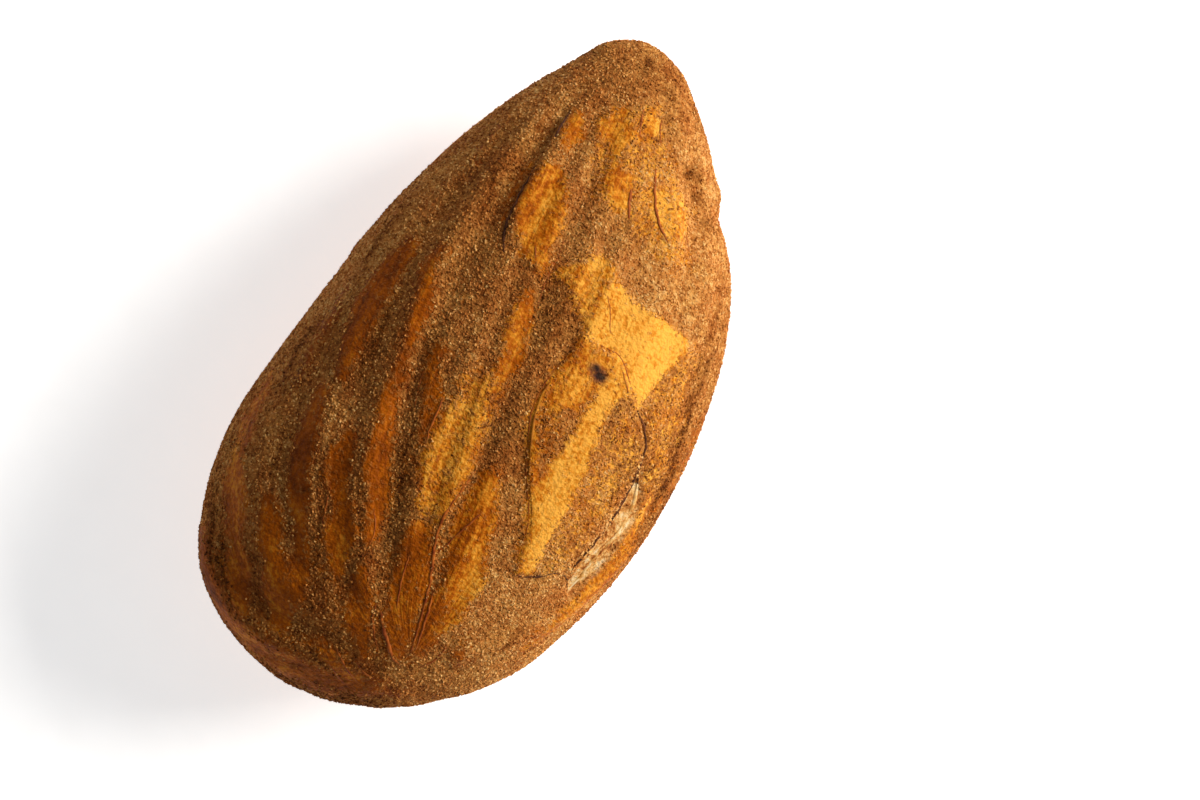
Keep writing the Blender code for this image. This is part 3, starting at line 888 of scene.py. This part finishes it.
coat, tree, shader = new_material("dry_seed_coat")
bare_field, amber_tone_and_light, flesh_field, spot_at = (
    add(tree, "ShaderNodeAttribute", {}, attribute_name=name).outputs["Fac"]
    for name in ("bare", "bright", "flesh", "spot")
)
pebbles, grains, mottle, flecks, cloud = cloudy(
    tree,
    (
        (1.4 * FIBRE, 1.5, 0.6),
        (1.2 * GRAIN, 2.5, 0.65),
        (MOTTLE, 3.0, 0.7),
        (FLECK, 2.0, 0.6),
        (BLOTCH, 3.0, 0.6),
    ),
)
flow_at = add(tree, "ShaderNodeAttribute", {}, attribute_name="flow").outputs["Vector"]
drawn_out = []
for across, along in ((4.0 * FIBRE, 1.6), (0.75, 7.0)):  # mm across and along the veins
    stretch = (1.0 / across, 1.0 / across, 1.0 / along)
    stretched = add(tree, "ShaderNodeMapping", {"Vector": flow_at, "Scale": stretch})
    noise_inputs = {"Vector": stretched, "Scale": 1.0, "Distortion": 0.8}
    drawn_out.append(add(tree, "ShaderNodeTexNoise", noise_inputs))
fibres, veins = drawn_out

# %% [markdown]
# The amber's brightness is given streak by streak, then varied by clouds, mottling, fibres and a
# speckle that is strongest where it is bright. It darkens towards the edge of a streak,
# where the membrane dives under the scurf.

# %% Seed coat: amber, and where it shows
# Painted light and shade: the placed brightness is lower on the side away from the lamp, so the amber
# there comes out darker and redder.
edge = add(tree, "ShaderNodeMapRange", {"Value": bare_field, "From Min": 0.45, "From Max": 0.85})
amber_value = varied(
    tree,
    amber_tone_and_light,
    (edge, -0.08, 0.0),
    (cloud, -0.3, 0.3),
    (mottle, -0.25, 0.25),
    (fibres, -0.3, 0.3),
)
speckle = add(
    tree,
    "ShaderNodeMapRange",
    {"Value": flecks, "From Min": 0.40, "From Max": 0.60, "To Min": -0.17, "To Max": 0.17},
)
amber_value = add(
    tree, "ShaderNodeMath", {0: speckle, 1: amber_tone_and_light, 2: amber_value}, operation="MULTIPLY_ADD"
)
amber = add(tree, "ShaderNodeValToRGB", {"Fac": amber_value}, AMBER_RAMP)
ragged = varied(tree, bare_field, (grains, -1.0, 1.0), (mottle, -0.7, 0.7))
# 0 is scurf and 1 is amber
choice = add(tree, "ShaderNodeMapRange", {"Value": ragged, "From Min": 0.24, "From Max": 0.80})

# %% [markdown]
# Over these two lie fine dark veins, thin ridges of the noise that is drawn out
# lengthwise, then the tan and cream flesh in the torn strip, and last one blue-black spot
# with a paler halo. Each layer is a share and a colour, mixed over those before it.

# %% Seed coat: layers of colour
off_ridge = add(tree, "ShaderNodeMath", {0: veins, 1: 0.5}, operation="SUBTRACT")
ridge = add(tree, "ShaderNodeMath", {0: off_ridge}, operation="ABSOLUTE")
vein_line = add(
    tree,
    "ShaderNodeMapRange",
    {"Value": ridge, "From Min": 0.004, "From Max": 0.022, "To Min": 0.55, "To Max": 0.0},
)
dimness = add(tree, "ShaderNodeMath", {0: 1.0, 1: amber_tone_and_light}, operation="SUBTRACT")
vein_share = add(tree, "ShaderNodeMath", {0: vein_line, 1: dimness}, operation="MULTIPLY")
flesh_value = varied(tree, 0.0, (mottle, 0.0, 0.6), (fibres, 0.0, 0.4))
flesh = add(tree, "ShaderNodeValToRGB", {"Fac": flesh_value}, FLESH_RAMP)
layers = [(choice, amber), (vein_share, srgb(VEIN_RED)), (flesh_field, flesh)]
spot_edge = varied(tree, spot_at, (mottle, -0.8, 0.8))
for from_min, from_max, most, colour in SPOT_LAYERS:
    share = add(
        tree,
        "ShaderNodeMapRange",
        {"Value": spot_edge, "From Min": from_min, "From Max": from_max, "To Max": most},
    )
    layers.append((share, srgb(colour)))

painted = scurf_colours(tree, 0.02)
for share, colour in layers:
    mix_inputs = {FACTOR: share, MIX_A: painted, MIX_B: colour}
    painted = add(tree, "ShaderNodeMix", mix_inputs, data_type="RGBA").outputs[MIXED]

# %% Seed coat: matt scurf, dull membrane, and the finest relief
gloss = add(tree, "ShaderNodeMapRange", {"Value": choice, "To Min": 0.88, "To Max": 0.58})
scurfy = add(tree, "ShaderNodeMath", {0: 1.0, 1: choice}, operation="SUBTRACT")
scurf_bump = add(tree, "ShaderNodeMath", {0: grains, 1: scurfy}, operation="MULTIPLY")
height = varied(tree, scurf_bump, (fibres, 0.0, 0.3), (pebbles, 0.0, 0.6))
bump = add(tree, "ShaderNodeBump", {"Height": height, "Strength": 0.9, "Distance": 0.10 * MM})
feed(
    shader,
    {
        "Base Color": painted,
        "Roughness": gloss,
        "Normal": bump,
        "Specular IOR Level": 0.05,
        "Subsurface Weight": 0.08,
        "Subsurface Radius": (1.0, 0.4, 0.15),
        "Subsurface Scale": 0.4 * MM,
    },
)
skin_mesh.materials.append(coat)
print("the coat's material has", len(tree.nodes), "nodes")

# %% [markdown]
# ## Loose scurf, grain by grain
#
# Bump alone looks like sandpaper seen through glass: the outline stays smooth. Real scurf
# is loose cells that stand on the skin and cast their own shadows. Tens of thousands of
# grains are too many to place by hand and too regular for a texture, so Geometry Nodes
# scatter them. The tree drops points where the `scurf` field allows, puts a tiny crystal
# of six faces on each, turned and sized at random, and joins them to one mesh.

# %% Scatter tree
GRAIN_SIDES = 3
GRAIN_RINGS = 2
FACES_PER_GRAIN = 2 * GRAIN_SIDES
OWN_TONE = 0.26  # how far a grain's own tone strays from its place's
GRAIN_SIZES = (0.6, 1.3)  # the smallest and largest, as shares of its kind's radius
LOW, HIGH, NUMBER = 2, 3, 1  # a Random Value node's sockets for plain numbers


def new_tree(name, inputs, output):
    """An empty Geometry Nodes tree with these named inputs, and its inputs' sockets."""
    tree = bpy.data.node_groups.new(name, "GeometryNodeTree")
    tree.is_modifier = True
    for title, kind, value in inputs:
        made = tree.interface.new_socket(title, in_out="INPUT", socket_type=f"NodeSocket{kind}")
        if value is not None:
            made.default_value = value
    tree.interface.new_socket(output, in_out="OUTPUT", socket_type="NodeSocketGeometry")
    return tree, add(tree, "NodeGroupInput", {}).outputs


def end_tree(tree, geometry, material, output):
    """The result: real mesh in place of instances, with its material."""
    joined = add(tree, "GeometryNodeRealizeInstances", {"Geometry": geometry})
    made = add(tree, "GeometryNodeSetMaterial", {"Geometry": joined, "Material": material})
    add(tree, "NodeGroupOutput", {output: made})


def scatter_tree():
    """Crystals on a skin, as dense as one of its fields allows."""
    tree, given = new_tree(
        "scatter_scurf",
        (
            ("Skin", "Geometry", None),
            ("Field", "String", "scurf"),
            ("Grains per square metre", "Float", 1.0e8),
            ("Grain radius", "Float", 0.05 * MM),
            ("Height in radii", "Float", 0.0),
            ("Seed", "Int", 0),
            ("Material", "Material", None),
        ),
        "Grains",
    )
    allowed = add(tree, "GeometryNodeInputNamedAttribute", {"Name": given["Field"]}, data_type="FLOAT")
    density, height = (
        add(tree, "ShaderNodeMath", {0: a, 1: given[b]}, operation="MULTIPLY")
        for a, b in (
            (allowed, "Grains per square metre"),
            (given["Grain radius"], "Height in radii"),
        )
    )
    points = add(
        tree,
        "GeometryNodeDistributePointsOnFaces",
        {"Mesh": given["Skin"], "Density": density, "Seed": given["Seed"]},
        distribute_method="RANDOM",
    ).outputs
    offset = add(
        tree, "ShaderNodeVectorMath", {0: points["Normal"], "Scale": height}, operation="SCALE"
    )
    seated = add(tree, "GeometryNodeSetPosition", {"Geometry": points["Points"], "Offset": offset})
    crystal = add(
        tree,
        "GeometryNodeMeshUVSphere",
        {"Segments": GRAIN_SIDES, "Rings": GRAIN_RINGS, "Radius": given["Grain radius"]},
    )
    turn = add(
        tree,
        "FunctionNodeRandomValue",
        {"Min": (0.0, 0.0, 0.0), "Max": (math.tau, math.tau, math.tau), "Seed": 1},
        data_type="FLOAT_VECTOR",
    )
    size, own_tone = (
        add(
            tree, "FunctionNodeRandomValue", {LOW: low, HIGH: high, "Seed": seed}, data_type="FLOAT"
        ).outputs[NUMBER]
        for low, high, seed in ((*GRAIN_SIZES, 2), (-OWN_TONE, OWN_TONE, 3))
    )
    grains = add(
        tree,
        "GeometryNodeInstanceOnPoints",
        {"Points": seated, "Instance": crystal, "Rotation": turn, "Scale": size},
    )
    toned = add(
        tree,
        "GeometryNodeStoreNamedAttribute",
        {"Geometry": grains, "Name": "own_tone", "Value": own_tone},
        data_type="FLOAT",
        domain="INSTANCE",
    )
    end_tree(tree, toned, given["Material"], "Grains")
    return tree


def run_tree(tree, source, name, inputs):
    """A new plain mesh object: this tree's result on this mesh."""
    carrier = link_object("carrier", source)
    modifier = carrier.modifiers.new(tree.name, "NODES")
    modifier.node_group = tree
    for item in tree.interface.items_tree:
        if item.in_out == "INPUT" and item.name in inputs:
            modifier[item.identifier] = inputs[item.name]
    graph = bpy.context.evaluated_depsgraph_get()
    mesh = bpy.data.meshes.new_from_object(carrier.evaluated_get(graph))
    bpy.data.objects.remove(carrier)
    mesh.name = name
    return link_object(name, mesh)


# %% Grain materials and pieces
# name, field, grains per square millimetre, radius in mm, height in radii, and how much
# paler than the skin
GRAIN_KINDS = (
    ("scurf_dark", "scurf", 56.0, 0.052, -0.25, -0.13),
    ("scurf_brown", "scurf", 60.0, 0.052, -0.15, 0.02),
    ("scurf_pale", "scurf", 46.0, 0.047, 0.0, 0.18),
    ("torn_crumbs", "crumbs", 110.0, 0.070, 0.0, 0.30),
)


def grain_material(name, lift):
    """Loose dry cells of the seed coat: matt, and each grain a single tone."""
    material, tree, shader = new_material(name)
    tone = scurf_colours(tree, lift)
    feed(shader, {"Base Color": tone, "Roughness": 0.8, "Specular IOR Level": 0.06})
    return material


def cell_uvs(mesh, faces_each):
    """Gives every grain its own small square of the map, so that it can hold one tone."""
    loops = np.arange(len(mesh.loops))
    per_grain = faces_each * 3
    side = math.ceil(math.sqrt(len(loops) / per_grain))
    grain = loops // per_grain
    inner = np.array(((0.15, 0.15), (0.85, 0.15), (0.5, 0.85)))[loops % 3]
    uvs = (np.stack([grain % side, grain // side], axis=1) + inner) / side
    mesh.uv_layers.new(name="OFBake").uv.foreach_set("vector", uvs.ravel().astype(np.float32))


FIRST_SEED = 11  # each kind falls in its own places
scatter = scatter_tree()
pieces = [seed_coat]
for seed, (kind, field, per_square_mm, radius, height, lift) in enumerate(GRAIN_KINDS):
    grains = run_tree(
        scatter,
        skin_mesh,
        f"{kind}_grains",
        {
            "Field": field,
            "Grains per square metre": per_square_mm / MM**2,
            "Grain radius": radius * MM,
            "Height in radii": height,
            "Seed": FIRST_SEED + seed,
            "Material": grain_material(kind, lift),
        },
    )
    for layer in list(grains.data.uv_layers):
        grains.data.uv_layers.remove(layer)
    cell_uvs(grains.data, FACES_PER_GRAIN)
    pieces.append(grains)
    print(grains.name, len(grains.data.polygons) // FACES_PER_GRAIN, "grains")

# %% [markdown]
# ## Veins, cracks and edges
#
# Red veins stand up from the skin where it has dried onto them. Along the fold, the flake
# and the torn strip the gaps in the skin are not cut, so dark fibres lie there as painted
# shade. The flake's border curls up in a thin amber lip, and shreds of cream skin hang along
# the torn strip. All are far too thin for the skin's net, so they are fibres of their own:
# a line is drawn in plan, dropped onto the skin with a ray, and given a round section by a
# second tree. Each point of the line says how thick the fibre is there, so that it can
# swell, thin out and end in nothing.

# %% Fibre tree
def fibre_tree():
    """Round fibres along a mesh's edges, as thick as its points say."""
    tree, given = new_tree(
        "round_fibres",
        (("Lines", "Geometry", None), ("Sides", "Int", 5), ("Material", "Material", None)),
        "Fibres",
    )
    line = add(tree, "GeometryNodeMeshToCurve", {"Mesh": given["Lines"]})
    radius = add(tree, "GeometryNodeInputNamedAttribute", {"Name": "radius"}, data_type="FLOAT")
    ring = add(tree, "GeometryNodeCurvePrimitiveCircle", {"Resolution": given["Sides"], "Radius": 1.0})
    tube = add(
        tree,
        "GeometryNodeCurveToMesh",
        {"Curve": line, "Profile Curve": ring, "Scale": radius, "Fill Caps": True},
    )
    rounded = add(tree, "GeometryNodeSetShadeSmooth", {"Geometry": tube})
    end_tree(tree, rounded, given["Material"], "Fibres")
    return tree


# %% Where the fibres lie
# radius in mm, and the line as x and y by turns, seen from above
VEIN_LINES = (
    (0.06, (
        0.95, -2.6, 0.85, -3.6, 0.75, -4.5, 0.85, -5.3, 1.1, -6, 1.35, -6.8, 1.55, -7.6,
        1.7, -8.3, 1.88, -9.3,
    )),
    (0.045, (1.8, -3.7, 1.5, -4.5, 1.25, -5.2, 1.05, -5.8)),
    (0.05, (1.35, -6.3, 1.6, -7.1, 1.78, -8, 1.93, -8.9)),
    (0.085, (1.85, -9.5, 1.4, -9.32, 1, -8.95, 0.6, -8.5, 0.28, -8)),
    (0.05, (0.95, -9.4, 0.5, -8.9, 0.18, -8.3, 0.08, -7.9)),
    (0.04, (0.35, -6.1, 0.5, -7, 0.8, -7.9)),
    (0.055, (2.2, -9.3, 2.6, -8.7, 2.72, -8)),
    (0.04, (-2, -0.5, -1.85, -1.4, -1.5, -2.4)),
    (0.045, (-1.05, -1.1, -0.95, -2, -0.85, -2.9)),
    (0.045, (0.2, 9.9, 0.35, 9.3, 0.55, 8.8)),
    (0.035, (0.85, 9.8, 1.05, 9.3, 1.3, 8.9)),
    (0.06, (1.4, 8.3, 1.7, 7.7, 2.1, 7, 2.6, 6.5, 2.95, 6.25)),
    (0.065, (1.05, 7.4, 1.2, 6.9, 1.5, 6.3)),
    (0.035, (3.2, 6.9, 3.6, 6.4)),
    (0.03, (0, 5, 0.06, 4.2, 0.08, 3.4, 0.25, 2.5)),
    (0.03, (-0.75, 4.3, -0.5, 3.8)),
    (0.045, (-0.45, -9.8, 0.2, -10.3, 0.8, -10.6)),
    (0.04, (-0.4, -10.4, 0.1, -10.7, 0.6, -10.85)),
    (0.035, (0.3, -9.9, 0.9, -10.2, 1.5, -10.1)),
    (0.04, (-2.95, -5.2, -2.7, -6, -2.35, -7)),
    (0.035, (-1.3, -5.4, -0.95, -6, -0.85, -6.6)),
    (0.025, (1.95, 4, 2.4, 3.4, 2.65, 2.9)),
    (0.025, (2.45, 2.44, 2.75, 2.44, 3.16, 2.45, 3.54, 2.21, 3.99, 1.76, 4.54, 1.21)),
    # The last line follows the foot of the flake's left edge, on the side away from the lamp: a painted
    # shadow of the raised edge, drawn as a thin vein.
    (0.03, (
        1.8, 2.5, 1.82, 1.9, 1.62, 1, 1.54, 0.25, 1.62, -0.38, 1.85, -1.02, 2.12, -1.65,
        2.44, -2.29, 2.85, -2.93, 3.17, -3.56, 3.3, -4.29, 3.44, -5.1,
    )),
)
# Painted shade: the gaps in the skin along the fold, the flake's edges and the torn strip are not cut,
# so dark fibres lie along them and stand for the shade inside each gap.
CRACK_SHADE_LINES = (
    (0.045, (-1.78, 8.6, -1.82, 7.5)),
    (0.055, (-1.9, 6.5, -1.88, 4.9, -1.8, 4.2, -1.5, 3.6)),
    (0.06, (4.5, 1.2, 4.93, 0.84, 5.26, 0.36, 5.4, -0.2, 5.46, -0.55, 5.62, -0.85)),
    (0.055, (3.95, -5.02, 4.15, -4.92, 4.38, -4.78)),
    (0.035, (3.5, -5.2, 3.8, -5.1, 4.1, -4.95)),
    (0.03, (4.38, -4.8, 4.6, -4.55, 5, -4.5, 5.25, -4.85)),
    (0.1, (5.4, -0.35, 5.45, -1.1, 5.43, -1.7, 5.42, -2.4)),
    (0.06, (5.42, -2.3, 5.32, -3, 5.16, -3.7, 5.02, -4.3)),
)
TORN_LINES = (
    (0.085, (5.62, -0.82, 5.76, -1.2, 5.8, -1.8)),
    (0.075, (5.84, -1.9, 5.8, -2.5, 5.68, -3.1)),
    (0.07, (5.58, -3.2, 5.48, -3.8, 5.38, -4.4, 5.26, -4.9)),
    (0.05, (5.26, -3.6, 5.18, -4.2, 5.18, -4.7)),
)
CURLED_LINES = (
    (0.06, (
        1.9, 2.5, 1.93, 1.9, 1.74, 1, 1.66, 0.25, 1.74, -0.38, 1.97, -1.02, 2.24, -1.65,
        2.56, -2.29, 2.97, -2.93, 3.29, -3.56, 3.42, -4.29,
    )),
    (0.045, (
        2.4, 2.38, 2.73, 2.36, 3.14, 2.35, 3.47, 2.11, 3.91, 1.66, 4.45, 1.11, 4.81, 0.75,
        5.12, 0.32, 5.26, -0.2, 5.34, -0.6,
    )),
    (0.03, (2.75, 2.35, 2.55, 1.9, 2.42, 1.35)),
)
FIBRE_SPACING = 0.14  # mm between two points of a line
FIBRE_STRAY = 0.012  # how far a point may stray sideways
ABOVE = 20.0  # mm over the card, from where lines are dropped
AROUND = 14.0  # mm from the chord, from where the back's veins are pressed on
skin_rays = BVHTree.FromPolygons(raised.tolist(), quads.tolist())


def spaced(line, generator):
    """The line as a smooth one, evenly spaced and a little unsteady."""
    corners = np.reshape(line, (-1, 2))
    at = np.append(0.0, np.cumsum(np.linalg.norm(np.diff(corners, axis=0), axis=1)))
    places = np.linspace(0.0, at[-1], max(4, round(at[-1] / FIBRE_SPACING)))
    strays = generator.normal(0.0, FIBRE_STRAY, (len(places), 2))
    return smooth_through(at, corners, places) + strays


def laid(starts, ways, radius, sunk):
    """The starts moved along their ways onto the skin, the fibre's middle sunk a little."""
    points = []
    for start, way in zip(starts, ways):
        place, normal, _, _ = skin_rays.ray_cast(Vector(start), Vector(way))
        if place is not None:
            points.append(np.array(place) - np.array(normal) * sunk * radius)
    return np.array(points)


def front_fibres(lines, sunk, seed):
    """Each line laid on the front, sunk by this share of its radius."""
    generator = np.random.default_rng(seed)
    fibres = []
    for radius, line in lines:
        xy = spaced(line, generator)
        above = np.column_stack([xy, np.full(len(xy), ABOVE)])
        fibres.append((radius, laid(above, [(0.0, 0.0, -1.0)] * len(xy), radius, sunk)))
    return fibres


BACK_VEINS = 30
BACK_VEIN_RADIUS = 0.045
BACK_VEIN_STARTS = (2.0, 9.0)  # mm along the chord
BACK_VEIN_ENDS = (11.0, 19.0)
BACK_VEIN_SIZES = (0.7, 1.2)
BACK_HEIGHTS = (0.1, RIM_HEIGHT + 0.8)  # a vein that leaves these is not kept


def back_fibres(sunk, seed):
    """Veins round the back, each at its own angle about the chord from scar to tip."""
    generator = np.random.default_rng(seed)
    fibres = []
    for i in range(BACK_VEINS):
        start, end = generator.uniform(*BACK_VEIN_STARTS), generator.uniform(*BACK_VEIN_ENDS)
        along = np.arange(start, end, 2 * FIBRE_SPACING)
        turn = math.tau * (i + generator.uniform(-0.3, 0.3)) / BACK_VEINS
        turns = turn + 0.05 * np.sin(0.5 * along + turn)
        turns += generator.normal(0.0, 0.004, len(along))
        outward = np.outer(np.cos(turns), CHORD_SIDE) + np.outer(np.sin(turns), CHORD_UP)
        far = VEIN_SCAR + np.outer(along, CHORD) + AROUND * outward
        points = laid(far, -outward, BACK_VEIN_RADIUS, sunk)
        lowest, highest = points[:, 2].min(), points[:, 2].max()
        if lowest > BACK_HEIGHTS[0] and highest < BACK_HEIGHTS[1]:
            fibres.append((BACK_VEIN_RADIUS * generator.uniform(*BACK_VEIN_SIZES), points))
    return fibres


UNEVENNESS = (0.75, 1.2)  # a fibre's thickness from point to point


def lines_mesh(name, fibres, generator):
    """One mesh of plain edges, with the fibre's radius stored at every point."""
    mesh = bpy.data.meshes.new(name)
    edges, radii = [], []
    for radius, points in fibres:
        first = len(radii)
        edges += [(first + i, first + i + 1) for i in range(len(points) - 1)]
        taper = np.sin(np.pi * np.linspace(0.06, 0.94, len(points))) ** 0.5
        radii += list(radius * taper * generator.uniform(*UNEVENNESS, len(points)))
    mesh.from_pydata((np.concatenate([p for _, p in fibres]) * MM).tolist(), edges, [])
    set_field(mesh, "radius", np.array(radii) * MM)
    return mesh


# %% Fibre materials and pieces
def fibre_material(name, stops):
    """Dried fibre: dull, and darker and paler along its length."""
    material, tree, shader = new_material(name)
    (shade,) = cloudy(tree, ((0.35, 3.0, 0.6),))
    tone = add(tree, "ShaderNodeValToRGB", {"Fac": shade}, stops)
    feed(shader, {"Base Color": tone, "Roughness": 0.6, "Specular IOR Level": 0.15})
    return material


# name, fibres with how far they are sunk and their seed, and colour stops
FIBRE_KINDS = (
    ("veins", front_fibres(VEIN_LINES, 0.45, 5) + back_fibres(0.35, 6),
     ((0.35, "7E340E"), (0.65, "BC6420"))),
    # the dark crack fibres are painted shade in the gaps
    ("crack_shade", front_fibres(CRACK_SHADE_LINES, 0.1, 7), ((0.35, "3A1C0C"), (0.65, "6E3C1C"))),
    ("torn_edges", front_fibres(TORN_LINES, 0.35, 8),
     ((0.38, "C88A40"), (0.48, "E4B268"), (0.60, "F8DCA8"))),
    ("curled_edges", front_fibres(CURLED_LINES, 0.7, 10), ((0.35, "9C5212"), (0.65, "CE8224"))),
)
fibre_nodes = fibre_tree()
for name, fibres, stops in FIBRE_KINDS:
    lines = lines_mesh(f"{name}_lines", fibres, np.random.default_rng(9))
    piece = run_tree(fibre_nodes, lines, name, {"Material": fibre_material(f"dried_{name}", stops)})
    pieces.append(piece)
    print(name, len(fibres), "fibres,", len(piece.data.polygons), "faces")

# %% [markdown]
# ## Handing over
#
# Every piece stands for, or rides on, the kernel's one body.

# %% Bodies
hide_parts(NODE)
for piece in pieces:
    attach(piece, "root")
